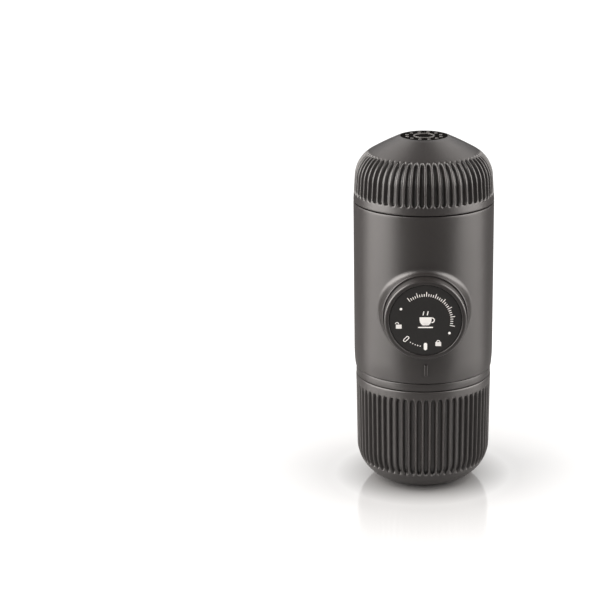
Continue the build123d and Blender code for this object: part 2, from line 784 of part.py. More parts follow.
# the grooves' upper ends are cut off by the skin's own inner edge, high on the shoulder
tank_groove_turn = 180 / groove_count
tank -= groove_cutters(
    tank_skin, tank_bottom + tank_groove_lift, tank_top + tank_groove_lift, tank_groove_turn
)
tank -= ring(tip_radius, 0, tank_top - tip_thickness, tank_top + seat)
tank_lug_z = tank_thread_z + lug_rise - half_pitch
tank_lug = helical_lug(spigot_radius + thread_gap, tank_bore + bite, lug_arc, tank_lug_z, lug_turn)
tank += around(tank_lug, thread_starts)
save(tank, "water_tank")

tank_gasket_top = shell_top + tank_gasket_height
save(ring(tank_gasket_radius, tank_gasket_bore, shell_top + slip, tank_gasket_top), "tank_gasket")

pad_top = tank_top - tip_relief
pad = ring(tip_radius - slip, 0, tank_top - tip_thickness, pad_top)
pad += ring(tip_ring_radius, tip_ring_radius - tip_ring_width, pad_top - slip, tank_top)
pad_dot = Pos(tip_dot_circle, 0, 0) * ring(tip_dot_radius, 0, pad_top - slip, tank_top)
pad += around(pad_dot, tip_dots)
save(pad, "tank_tip_pad")
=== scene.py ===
"""Dresses the handheld espresso maker: ribbed tank and cup, shell, knob, print, finishes and studio."""

import math

import bpy
from bpy.props import FloatProperty, FloatVectorProperty, IntProperty, PointerProperty
from mathutils import Euler, Matrix, Vector


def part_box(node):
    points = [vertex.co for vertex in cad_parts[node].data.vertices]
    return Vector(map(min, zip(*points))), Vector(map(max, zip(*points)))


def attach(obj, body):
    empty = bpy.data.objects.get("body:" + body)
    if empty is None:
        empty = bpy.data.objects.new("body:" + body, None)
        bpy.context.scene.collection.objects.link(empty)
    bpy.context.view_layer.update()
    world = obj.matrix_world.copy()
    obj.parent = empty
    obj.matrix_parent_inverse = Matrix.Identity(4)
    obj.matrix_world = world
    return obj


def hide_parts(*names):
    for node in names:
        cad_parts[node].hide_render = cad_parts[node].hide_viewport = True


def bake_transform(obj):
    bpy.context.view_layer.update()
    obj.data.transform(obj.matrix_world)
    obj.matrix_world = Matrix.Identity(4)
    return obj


bl_info = {
    "name": "Handheld espresso maker",
    "version": (1, 0, 0),
    "blender": (4, 5, 0),
    "location": "3D View > Sidebar > Espresso",
    "description": "Shapes and finishes the outer pieces of a hand-pumped espresso maker",
    "category": "Add Mesh",
}

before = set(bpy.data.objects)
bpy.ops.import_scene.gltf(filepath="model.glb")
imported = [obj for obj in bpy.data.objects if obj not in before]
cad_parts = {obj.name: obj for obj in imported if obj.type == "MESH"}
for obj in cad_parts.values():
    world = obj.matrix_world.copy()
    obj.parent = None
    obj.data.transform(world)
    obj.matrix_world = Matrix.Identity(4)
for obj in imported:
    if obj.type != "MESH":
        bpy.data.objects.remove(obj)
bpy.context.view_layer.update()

MM = 0.001
FRONT = -math.pi / 2  # the knob looks along -Y
MERGE = 0.002 * MM  # points nearer than this become one


# Sizes and colours that a user would change
def node_size(node, axis):
    """Size of a node of the frame along one axis, in metres."""
    low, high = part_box(node)
    return high[axis] - low[axis]


def a_length(name, description, default):
    """A length that a user can change."""
    return FloatProperty(name=name, description=description, unit="LENGTH", default=default)


def a_colour(name, description, default):
    """A colour that a user can change."""
    return FloatVectorProperty(
        name=name, description=description, subtype="COLOR", size=3, default=default, min=0, max=1
    )


class MakerSizes(bpy.types.PropertyGroup):
    """Sizes of the maker's outer pieces, in metres."""

    body_radius: a_length("Body radius", "Outside of the straight shell", node_size("body_shell", 0) / 2)
    shell_wall: a_length("Shell wall", "Wall of the shell and the tank", 2.4 * MM)
    foot_radius: a_length("Shell foot radius", "The shell eases in to this above the collar", 30.5 * MM)
    foot_ease: a_length("Shell ease", "Height over which the shell eases in", 8 * MM)
    edge_round: a_length("Edge round", "Rounding of the edges at the parting lines", 0.34 * MM)
    seam_gap: a_length("Seam gap", "Extra gap at the parting line under the tank", 0.17 * MM)
    groove_count: IntProperty(name="Grip grooves", description="Grooves round tank and cup", default=60)
    groove_columns: IntProperty(name="Groove columns", description="Mesh columns for each groove", default=16)
    groove_width: a_length("Groove width", "Width of a grip groove at its mouth", 2.9 * MM)
    groove_depth: a_length("Groove depth", "Depth of a grip groove", 1.6 * MM)
    groove_wall: a_length("Groove wall", "Width of the rounded wall of a groove", 0.95 * MM)
    boss_radius: a_length("Boss radius", "Outside of the boss round the knob", 18.6 * MM)
    boss_fillet: a_length("Boss fillet", "How far the boss flows out into the shell", 2.4 * MM)
    knob_gap: a_length("Knob gap", "Dark gap between the knob and its boss", 0.08 * MM)
    print_height: a_length("Print height", "Thickness of the white print", 0.06 * MM)


class MakerColours(bpy.types.PropertyGroup):
    """Base colours of the maker's finishes."""

    shell: a_colour("Shell grey", "Soft-touch grey of the shell and tank", (0.0172, 0.0150, 0.0145))
    # The cup's grey is partly the shell's soft-touch grey and partly painted light: it is made lighter to
    # brighten the cup and its grooves.
    cup: a_colour("Cup grey", "Soft-touch grey of the cup", (0.0235, 0.0208, 0.0201))
    face: a_colour("Face black", "Grained black of the knob's face", (0.008, 0.0075, 0.0072))
    black: a_colour("Inner black", "Black plastic of the inner pieces", (0.022, 0.022, 0.023))
    pad: a_colour("Pad black", "Black of the pad on the tank", (0.006, 0.0058, 0.0056))
    relief: a_colour("Pad relief", "Grey of the pad's raised ring and dots", (0.090, 0.086, 0.084))
    print_white: a_colour("Print white", "White print on the knob", (0.80, 0.79, 0.77))
    floor: a_colour("Floor", "Glossy pale floor", (0.26, 0.26, 0.26))


# Modelling helpers
def deselect_all():
    """Leaves edit mode and selects nothing, because an operator acts on all that is selected."""
    if bpy.context.object and bpy.context.object.mode != "OBJECT":
        bpy.ops.object.mode_set(mode="OBJECT")
    bpy.ops.object.select_all(action="DESELECT")


def only(piece):
    """Selects one piece and makes it active."""
    deselect_all()
    piece.select_set(True)
    bpy.context.view_layer.objects.active = piece


def named(name):
    """Names the active object and its data, and returns the object."""
    piece = bpy.context.object
    piece.name = piece.data.name = name
    return piece


def settle():
    """Puts the active piece's place, turn and size into its mesh."""
    bpy.ops.object.transform_apply(location=True, rotation=True, scale=True)


def edit_all():
    """Enters edit mode, or stays in it, with the whole piece selected."""
    bpy.ops.object.mode_set(mode="EDIT")
    bpy.ops.mesh.select_all(action="SELECT")


def end_edit(angle):
    """Leaves edit mode, and smooths the edges that bend by less than an angle in degrees."""
    bpy.ops.object.mode_set(mode="OBJECT")
    bpy.ops.object.shade_smooth_by_angle(angle=math.radians(angle))


def close_mesh(angle):
    """Merges the points that meet, turns the faces outwards and leaves edit mode."""
    edit_all()
    bpy.ops.mesh.remove_doubles(threshold=MERGE)
    bpy.ops.mesh.normals_make_consistent(inside=False)
    end_edit(angle)


def join_pieces(name, pieces):
    """One piece of several."""
    only(pieces[0])
    for piece in pieces:
        piece.select_set(True)
    bpy.ops.object.join()
    return named(name)


def spaced(start, end, count):
    """Values from start to end in equal steps."""
    return [start + (end - start) * i / count for i in range(count + 1)]


def quarter(count):
    """Angles of a quarter turn in equal steps, in radians."""
    return spaced(0.0, math.pi / 2, count)


def step(place, distance, angle):
    """The point at a distance and an angle, in degrees, from a place (radius, height) of an outline."""
    turn = math.radians(angle)
    return place[0] + distance * math.cos(turn), place[1] + distance * math.sin(turn)


def arc(centre, radius, start, end, count):
    """Points on an arc of an outline, angles in degrees."""
    return [step(centre, radius, angle) for angle in spaced(start, end, count)]


def run(start, end, count):
    """Points on a straight run of an outline."""
    return list(zip(spaced(start[0], end[0], count), spaced(start[1], end[1], count)))


def joined(*stretches):
    """One outline from several stretches, without the points that they share."""
    outline = []
    for stretch in stretches:
        for point in stretch:
            if not outline or math.dist(outline[-1], point) > MERGE / 20:
                outline.append(point)
    return outline


def upright(radius, height):
    """A point of an outline that spins about the maker's upright axis."""
    return Vector((radius, 0, height))


def lathe(name, outline, steps, place=upright, centre=(0, 0, 0), axis="Z"):
    """Draws an outline by extruding a corner along it, spins an eighth of a turn and doubles that thrice."""
    corners = [place(*point) for point in outline]
    deselect_all()
    bpy.ops.mesh.primitive_plane_add(size=MM)
    piece = named(name)
    edit_all()
    bpy.ops.mesh.merge(type="CENTER")
    bpy.ops.transform.translate(value=corners[0])
    for here, there in zip(corners, corners[1:]):
        bpy.ops.mesh.extrude_region_move(TRANSFORM_OT_translate={"value": there - here})
    edit_all()
    direction = (0, 0, 1) if axis == "Z" else (0, 1, 0)
    bpy.ops.mesh.spin(steps=steps // 8, angle=math.tau / 8, center=centre, axis=direction)
    for share in (8, 4, 2):
        edit_all()
        bpy.ops.mesh.duplicate()
        bpy.ops.transform.rotate(value=math.tau / share, orient_axis=axis, center_override=centre)
    close_mesh(40)
    return piece


def smooth_step(value):
    """0 below 0, 1 above 1, and smooth between."""
    value = max(0.0, min(1.0, value))
    return value * value * (3 - 2 * value)


def between(table, height):
    """Reads (height, a, b) rows at a height, linearly between them."""
    for (low, a0, b0), (high, a1, b1) in zip(table, table[1:]):
        if low <= height <= high:
            share = (height - low) / (high - low)
            return a0 + (a1 - a0) * share, b0 + (b1 - b0) * share
    return None


def press_grooves(piece, outside, low, high, sizes, turn, rounds, fades, narrowing=0.0):
    """Presses round-ended grip grooves into the piece's outside by weighted displacement.

    outside is the outer outline from low to high, and low and high are heights where the grooves end.
    rounds are the lengths of their rounded lower and upper ends, fades the lengths over which they
    get their depth there, and narrowing is the share of the width lost at the upper end.
    """
    travel = 0.0
    table = [(outside[0][1], outside[0][0], 0.0)]
    for here, there in zip(outside, outside[1:]):
        travel += math.dist(here, there)
        table.append((there[1], there[0], travel))
    start = between(table, low)[1]
    end = between(table, high)[1]
    group = piece.vertex_groups.new(name="Grooves")
    for vertex in piece.data.vertices:
        if not low < vertex.co.z < high:
            continue
        radius = math.hypot(vertex.co.x, vertex.co.y)
        skin, along = between(table, vertex.co.z)
        if radius < skin - sizes.shell_wall / 3:
            continue
        turned = (math.atan2(vertex.co.y, vertex.co.x) - FRONT - turn) * sizes.groove_count / math.tau
        off_centre = abs(turned % 1.0 - 0.5) * math.tau * radius / sizes.groove_count
        half = sizes.groove_width / 2 * (1 - narrowing * (along - start) / (end - start))
        low_part = min(1.0, (along - start) / rounds[0])
        high_part = min(1.0, (end - along) / rounds[1])
        half *= math.sqrt(max(0.0, 1 - (1 - low_part) ** 2)) * math.sqrt(max(0.0, 1 - (1 - high_part) ** 2))
        weight = smooth_step((half - off_centre) / sizes.groove_wall)
        weight *= smooth_step((along - start) / fades[0]) * smooth_step((end - along) / fades[1])
        if weight > 0:
            group.add([vertex.index], weight, "REPLACE")
    only(piece)
    displace = piece.modifiers.new("Grooves", "DISPLACE")
    displace.mid_level = 0
    displace.strength = -sizes.groove_depth
    displace.vertex_group = group.name
    bpy.ops.object.modifier_apply(modifier=displace.name)
    piece.vertex_groups.clear()
    bpy.ops.object.shade_smooth_by_angle(angle=math.radians(60))


def finish(piece, material, body, slot, *replaced):
    """Gives a finished piece its material and its body, and hides the nodes it stands for; its finish slot is
    not used.
    """
    piece.data.materials.clear()
    piece.data.materials.append(material)
    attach(piece, body)
    if replaced:
        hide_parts(*replaced)


# Finishes
BUMP_HEIGHT = 0.05 * MM


def feed(tree, value, socket):
    """Links another socket to a socket, or sets it to a number or colour."""
    if isinstance(value, bpy.types.NodeSocket):
        tree.links.new(value, socket)
    else:
        socket.default_value = value


def fill(tree, node, values):
    """Feeds a node's inputs by their labels."""
    for label, value in values.items():
        feed(tree, value, node.inputs[label])


def math_node(tree, operation, *values, kind="ShaderNodeMath"):
    """A math node on numbers and sockets."""
    node = tree.nodes.new(kind)
    node.operation = operation
    for value, socket in zip(values, node.inputs):
        feed(tree, value, socket)
    return node.outputs[0]


def noise(tree, vector, scale, detail=2.0, roughness=0.5):
    """A noise texture on a vector socket."""
    node = tree.nodes.new("ShaderNodeTexNoise")
    fill(tree, node, {"Vector": vector, "Scale": scale, "Detail": detail, "Roughness": roughness})
    return node.outputs["Fac"]


def map_range(tree, value, low, high, to_low, to_high):
    """A clamped map range node."""
    node = tree.nodes.new("ShaderNodeMapRange")
    limits = {"From Min": low, "From Max": high, "To Min": to_low, "To Max": to_high}
    fill(tree, node, {"Value": value, **limits})
    return node.outputs["Result"]


def scaled_colour(tree, tint, factor):
    """A colour times a changing grey factor."""
    node = tree.nodes.new("ShaderNodeVectorMath")
    node.operation = "SCALE"
    feed(tree, tint, node.inputs[0])
    feed(tree, factor, node.inputs["Scale"])
    return node.outputs["Vector"]


def object_place(tree):
    """The socket of a point's place on its piece."""
    return tree.nodes.new("ShaderNodeTexCoord").outputs["Object"]


def rays(tree):
    """The sockets that tell which kind of ray meets the surface."""
    return tree.nodes.new("ShaderNodeLightPath").outputs


def new_group(name, *inputs):
    """A shader group with inputs of (label, kind, value), and the three outputs that each finish has."""
    group = bpy.data.node_groups.new(name, "ShaderNodeTree")
    for label, kind, value in inputs:
        socket = group.interface.new_socket(label, in_out="INPUT", socket_type="NodeSocket" + kind)
        socket.default_value = value
    for label, kind in (("Colour", "Color"), ("Roughness", "Float"), ("Height", "Float")):
        group.interface.new_socket(label, in_out="OUTPUT", socket_type="NodeSocket" + kind)
    return group, group.nodes.new("NodeGroupInput").outputs


def end_group(group, *results):
    """Links the results to a group's outputs: colour, roughness and height."""
    sink = group.nodes.new("NodeGroupOutput")
    for result, socket in zip(results, sink.inputs):
        group.links.new(result, socket)
    return group


def build_moulded_group():
    """Moulded plastic: fine grain, faint cloudiness, and lighter rubbed patches."""
    group, given = new_group(
        "Moulded plastic",
        ("Colour", "Color", (0.1, 0.1, 0.1, 1)),
        ("Grain scale", "Float", 4000.0),
        ("Cloud", "Float", 0.06),
        ("Rub", "Float", 0.1),
        ("Roughness", "Float", 0.5),
    )
    where = object_place(group)
    grain = noise(group, where, given["Grain scale"], 3.0, 0.6)
    cloud = noise(group, where, 55.0, 3.0, 0.55)
    rub = map_range(group, noise(group, where, 140.0, 6.0, 0.65), 0.56, 0.75, 0.0, 1.0)
    low = math_node(group, "SUBTRACT", 1.0, given["Cloud"])
    high = math_node(group, "ADD", 1.0, given["Cloud"])
    tone = map_range(group, cloud, 0.3, 0.7, low, high)
    rubbed = math_node(group, "MULTIPLY_ADD", rub, given["Rub"], tone)
    speck = map_range(group, grain, 0.3, 0.7, 0.94, 1.06)
    total = math_node(group, "MULTIPLY", rubbed, speck)
    gloss = math_node(group, "MULTIPLY_ADD", rub, -0.06, given["Roughness"])
    return end_group(group, scaled_colour(group, given["Colour"], total), gloss, grain)


def build_drawn_metal_group():
    """Brushed, drawn or turned metal: streaks along one direction, with a few stains."""
    group, given = new_group(
        "Drawn metal",
        ("Colour", "Color", (0.6, 0.6, 0.6, 1)),
        ("Stretch", "Vector", (1.0, 1.0, 0.03)),
        ("Streak scale", "Float", 3500.0),
        ("Roughness", "Float", 0.3),
    )
    where = object_place(group)
    stretched = math_node(group, "MULTIPLY", where, given["Stretch"], kind="ShaderNodeVectorMath")
    streak = noise(group, stretched, given["Streak scale"], 4.0, 0.6)
    stain = noise(group, where, 300.0, 3.0, 0.5)
    streak_tone = map_range(group, streak, 0.3, 0.7, 0.86, 1.08)
    stain_tone = map_range(group, stain, 0.3, 0.7, 0.94, 1.03)
    tone = math_node(group, "MULTIPLY", streak_tone, stain_tone)
    rough = math_node(group, "ADD", map_range(group, streak, 0.3, 0.7, -0.06, 0.08), given["Roughness"])
    return end_group(group, scaled_colour(group, given["Colour"], tone), rough, streak)


def new_material(name):
    """A material with its Principled shader, and its tree."""
    material = bpy.data.materials.new(name)
    material.use_nodes = True
    return material, material.node_tree, material.node_tree.nodes["Principled BSDF"]


def finish_from_group(name, group, values, bump, metallic=0.0, specular=0.5):
    """A material whose colour, roughness and bump come from a shared group with its own values."""
    material, tree, shader = new_material(name)
    effect = tree.nodes.new("ShaderNodeGroup")
    effect.node_tree = group
    fill(tree, effect, values)
    relief = tree.nodes.new("ShaderNodeBump")
    fill(tree, relief, {"Strength": bump, "Distance": BUMP_HEIGHT, "Height": effect.outputs["Height"]})
    fill(tree, shader, {
        "Base Color": effect.outputs["Colour"], "Roughness": effect.outputs["Roughness"],
        "Normal": relief.outputs["Normal"], "Metallic": metallic, "Specular IOR Level": specular,
    })
    return material


def build_materials(colours):
    """All finishes of the maker, by name."""
    moulded = build_moulded_group()
    drawn = build_drawn_metal_group()

    def plastic(name, tint, grain, cloud, rub, roughness, bump, specular=0.5):
        values = {
            "Colour": (*tint, 1.0), "Grain scale": grain, "Cloud": cloud, "Rub": rub, "Roughness": roughness,
        }
        return finish_from_group(name, moulded, values, bump, specular=specular)

    def metal(name, tint, stretch, scale, roughness, bump):
        values = {"Colour": (*tint, 1.0), "Stretch": stretch, "Streak scale": scale, "Roughness": roughness}
        return finish_from_group(name, drawn, values, bump, metallic=1.0)

    return {
        "shell": plastic("soft_touch_shell", colours.shell, 5200.0, 0.03, 0.05, 0.37, 0.14, specular=0.8),
        # The cup's plastic is the shell's with a lighter grey, which is painted light on the cup.
        "cup": plastic("soft_touch_cup", colours.cup, 5200.0, 0.03, 0.05, 0.38, 0.14, specular=0.8),
        "knob": plastic("satin_knob", colours.shell, 5200.0, 0.03, 0.05, 0.32, 0.10, specular=0.8),
        "face": plastic("grained_face", colours.face, 2000.0, 0.08, 0.25, 0.50, 1.0),
        "gloss": plastic("gloss_pad", colours.pad, 900.0, 0.10, 0.10, 0.20, 0.04, specular=0.0),
        "relief": plastic("pad_relief", colours.relief, 900.0, 0.10, 0.10, 0.30, 0.04, specular=0.3),
        "black": plastic("inner_black", colours.black, 3600.0, 0.08, 0.20, 0.48, 0.25),
        "rubber": plastic("silicone", (0.055, 0.055, 0.058), 2200.0, 0.10, 0.15, 0.62, 0.20),
        "print": plastic("white_print", colours.print_white, 6000.0, 0.05, 0.0, 0.55, 0.25),
        "steel": metal("brushed_steel", (0.62, 0.62, 0.60), (1.0, 1.0, 0.03), 3500.0, 0.30, 0.25),
        "screen": metal("etched_steel", (0.60, 0.60, 0.58), (1.0, 0.05, 1.0), 2600.0, 0.34, 0.25),
        "wire": metal("drawn_wire", (0.56, 0.56, 0.55), (1.0, 1.0, 0.2), 4200.0, 0.26, 0.15),
        "screw": metal("plated_screw", (0.45, 0.45, 0.44), (1.0, 1.0, 1.0), 3000.0, 0.32, 0.25),
        "brass": metal("turned_brass", (0.72, 0.53, 0.26), (1.0, 0.04, 1.0), 3000.0, 0.30, 0.25),
    }


class Undoable:
    """What all the operators share."""

    bl_options = {"REGISTER", "UNDO"}


# Water tank and its tip pad
TANK_TAPER = 0.7 * MM
TANK_SIDE = 11.3 * MM
TANK_SHOULDER = 13.2 * MM
TANK_CROWN_ANGLE = 30.0
TANK_GROOVE_LOW = 3.4 * MM
TANK_GROOVE_HIGH = 22.0 * MM
TIP_THICKNESS = 1.4 * MM


def tank_skin(sizes, inset, base, top, fine):
    """Outline of the tank's skin moved inward by inset: side, shoulder arc and gently domed crown."""
    tip_radius = node_size("tank_tip_pad", 0) / 2 + sizes.edge_round / 6
    lean = math.degrees(math.atan2(TANK_TAPER, TANK_SIDE))
    foot = (sizes.body_radius - inset, base)
    shoulder_low = (sizes.body_radius - TANK_TAPER - inset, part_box("water_tank")[0][2] + TANK_SIDE)
    radius = TANK_SHOULDER - inset
    first = 90 - TANK_CROWN_ANGLE
    shoulder = arc(step(shoulder_low, -radius, lean), radius, lean, first, 34 if fine else 10)
    start, end = shoulder[-1], (tip_radius, top)
    chord = math.degrees(math.atan2(end[1] - start[1], start[0] - end[0]))
    half_turn = TANK_CROWN_ANGLE - chord
    crown_radius = math.dist(start, end) / 2 / math.sin(math.radians(half_turn))
    crown_centre = step(start, -crown_radius, first)
    crown = arc(crown_centre, crown_radius, first, first + 2 * half_turn, 12 if fine else 4)
    side = run(foot, shoulder_low, 28 if fine else 3)
    return side, shoulder, crown


class MAKER_OT_water_tank(Undoable, bpy.types.Operator):
    """Spin the domed water tank and press its grip grooves"""

    bl_idname = "maker.water_tank"
    bl_label = "Water tank"

    def execute(self, context):
        sizes = context.scene.maker_sizes
        low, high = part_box("water_tank")
        r = sizes.edge_round
        side, shoulder, crown = tank_skin(sizes, 0.0, low[2] + r, high[2], True)
        inner_side, inner_shoulder, inner_crown = tank_skin(
            sizes, sizes.shell_wall, low[2] + r, high[2] - sizes.shell_wall - TIP_THICKNESS, False
        )
        tip_radius = crown[-1][0]
        seat = high[2] - TIP_THICKNESS
        foot_inner = sizes.body_radius - sizes.shell_wall
        outline = joined(
            [(0.0, seat), (tip_radius, seat), (tip_radius, high[2] - r / 2)],
            crown[-2::-1],
            shoulder[::-1],
            side[::-1],
            arc((sizes.body_radius - r, low[2] + r), r, 0, -90, 4),
            arc((foot_inner + r, low[2] + r), r, -90, -180, 4),
            inner_side,
            inner_shoulder,
            inner_crown,
            [(0.0, inner_crown[-1][1])],
        )
        tank = lathe("water_tank_shell", outline, sizes.groove_count * sizes.groove_columns)
        outside = joined(side, shoulder, crown)
        press_grooves(
            tank, outside, low[2] + TANK_GROOVE_LOW, low[2] + TANK_GROOVE_HIGH, sizes, 0.0,
            (1.5 * MM, 4.2 * MM), (0.3 * MM, 2.6 * MM), narrowing=0.20,
        )
        finish(tank, materials["shell"], "tank", "shell_grey", "water_tank")
        return {"FINISHED"}


class MAKER_OT_tip_pad(Undoable, bpy.types.Operator):
    """Turn the glossy pad on the tank's top, with its raised dots and ring"""

    bl_idname = "maker.tip_pad"
    bl_label = "Tip pad"

    def execute(self, context):
        low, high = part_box("tank_tip_pad")
        radius = (high[0] - low[0]) / 2
        r = relief = 0.3 * MM
        top = high[2] - relief
        ring_radius, ring_half = 4.4 * MM, 0.4 * MM
        dots, dot_circle, dot_radius = 12, 7.6 * MM, 0.8 * MM
        sunk = 0.1 * MM  # the ring and the dots start this far under the pad's top
        outline = joined(
            [(0.0, low[2]), (radius, low[2])], arc((radius - r, top - r), r, 0, 90, 4), [(0.0, top)]
        )
        pad = lathe("tip_pad_disc", outline, 96)
        finish(pad, materials["gloss"], "tank", "gloss_black", "tank_tip_pad")
        crown = arc((ring_radius, top - sunk), ring_half, 0, 180, 8)
        ring = lathe("tip_pad_ring", crown + crown[:1], 96)
        finish(ring, materials["relief"], "tank", "gloss_black")
        for i in range(dots):
            turn = math.tau * (i + 0.5) / dots
            deselect_all()
            bpy.ops.mesh.primitive_uv_sphere_add(
                segments=20, ring_count=10, radius=dot_radius, scale=(1.0, 1.0, 0.36),
                location=(dot_circle * math.cos(turn), dot_circle * math.sin(turn), top),
            )
            dot = named(f"tip_pad_dot_{i + 1:02d}")
            settle()
            edit_all()
            bpy.ops.mesh.bisect(
                plane_co=(0, 0, top - sunk), plane_no=(0, 0, 1), clear_inner=True, use_fill=True
            )
            end_edit(40)
            finish(dot, materials["relief"], "tank", "gloss_black")
        return {"FINISHED"}


# Cup and collar ring
CUP_CORNER = 16.5 * MM
CUP_FOOT = 13.4 * MM
CUP_WALL = 2.2 * MM
CUP_FLOOR = 2.4 * MM
CUP_GROOVE_LOW = 9.0 * MM
CUP_GROOVE_DROP = 3.7 * MM
CUP_GROOVE_TURN = math.radians(-1.6)
COLLAR_BORE = 26.65 * MM


class MAKER_OT_cup(Undoable, bpy.types.Operator):
    """Spin the round-bottomed cup and press its grip grooves"""

    bl_idname = "maker.cup"
    bl_label = "Cup"

    def execute(self, context):
        sizes = context.scene.maker_sizes
        low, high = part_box("cup")
        top = high[2]
        lip = (high[0] - low[0]) / 2
        r = 0.6 * MM
        foot_round = 0.5 * MM
        corner = arc((CUP_FOOT, CUP_CORNER), CUP_CORNER, -88, 0, 36)
        side = run(corner[-1], (lip, top - r), 42)
        inner_radius = CUP_CORNER - CUP_WALL
        inner_corner = arc((CUP_FOOT, CUP_FLOOR + inner_radius), inner_radius, 0, -90, 9)
        inner_lip = (lip - CUP_WALL, top - r)
        outline = joined(
            [(0.0, 0.0), (CUP_FOOT * 0.5, 0.0), (CUP_FOOT - foot_round, 0.0)],
            corner,
            side,
            arc((lip - r, top - r), r, 0, 90, 5),
            arc((lip - CUP_WALL + r, top - r), r, 90, 180, 5),
            run(inner_lip, inner_corner[0], 2),
            inner_corner,
            [(CUP_FOOT * 0.5, CUP_FLOOR), (0.0, CUP_FLOOR)],
        )
        cup = lathe("cup_shell", outline, sizes.groove_count * sizes.groove_columns)
        press_grooves(
            cup, joined(corner, side), CUP_GROOVE_LOW, top - CUP_GROOVE_DROP, sizes,
            CUP_GROOVE_TURN, (3.2 * MM, 2.4 * MM), (0.3 * MM, 0.8 * MM),
        )
        finish(cup, materials["cup"], "cup", "cup_grey", "cup")
        return {"FINISHED"}


class MAKER_OT_collar_ring(Undoable, bpy.types.Operator):
    """Turn the thin collar ring between the shell and the cup"""

    bl_idname = "maker.collar_ring"
    bl_label = "Collar ring"

    def execute(self, context):
        sizes = context.scene.maker_sizes
        low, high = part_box("collar_ring")
        outer = (high[0] - low[0]) / 2
        r = sizes.edge_round
        outline = joined(
            [(COLLAR_BORE, low[2]), (outer - r, low[2])],
            arc((outer - r, low[2] + r), r, -90, 0, 4),
            arc((outer - r, high[2] - r), r, 0, 90, 4),
            [(COLLAR_BORE, high[2]), (COLLAR_BORE, low[2])],
        )
        collar = lathe("collar_band", outline, 360)
        finish(collar, materials["shell"], "collar", "shell_grey", "collar_ring")
        return {"FINISHED"}


